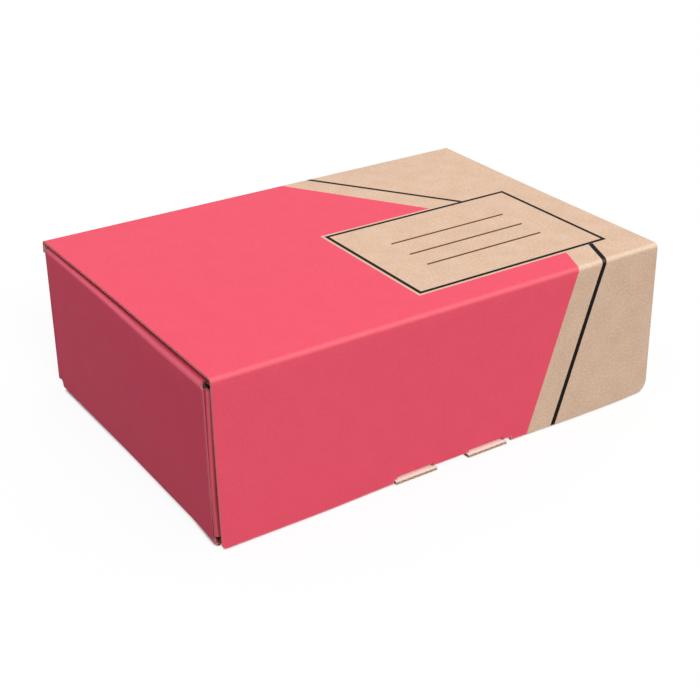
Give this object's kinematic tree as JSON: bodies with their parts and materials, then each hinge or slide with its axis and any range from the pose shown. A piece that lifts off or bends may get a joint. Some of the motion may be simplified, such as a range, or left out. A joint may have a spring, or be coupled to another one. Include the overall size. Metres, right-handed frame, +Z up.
{
  "type": "shipping box",
  "caption": "Low rectangular shipping box folded from one sheet of corrugated board, with rolled side walls and a lid whose front flap hangs outside and locks into the base crease.",
  "frame": {"origin": "on the floor, at the middle of the footprint, with the two lock tongues counted in the footprint", "axes": "+X to the right along the long front, +Y from the front flap to the back wall, +Z up through the lid"},
  "size_m": [0.2588, 0.1834, 0.084],
  "materials": {
    "kraft_board": "brown kraft liner, matt",
    "printed_board": "matt pink ink on brown kraft liner"
  },
  "bodies": {
    "carton": {"folded_carton": "kraft_board"},
    "flap": {"front_flap": "printed_board"}
  },
  "joints": [
    {"name": "front_flap_hinge", "type": "hinge", "parent": "carton", "child": "flap", "pos_m": [0, -0.08915, 0.084], "axis": [-1, 0, 0], "range_deg": [0, 90]}
  ]
}
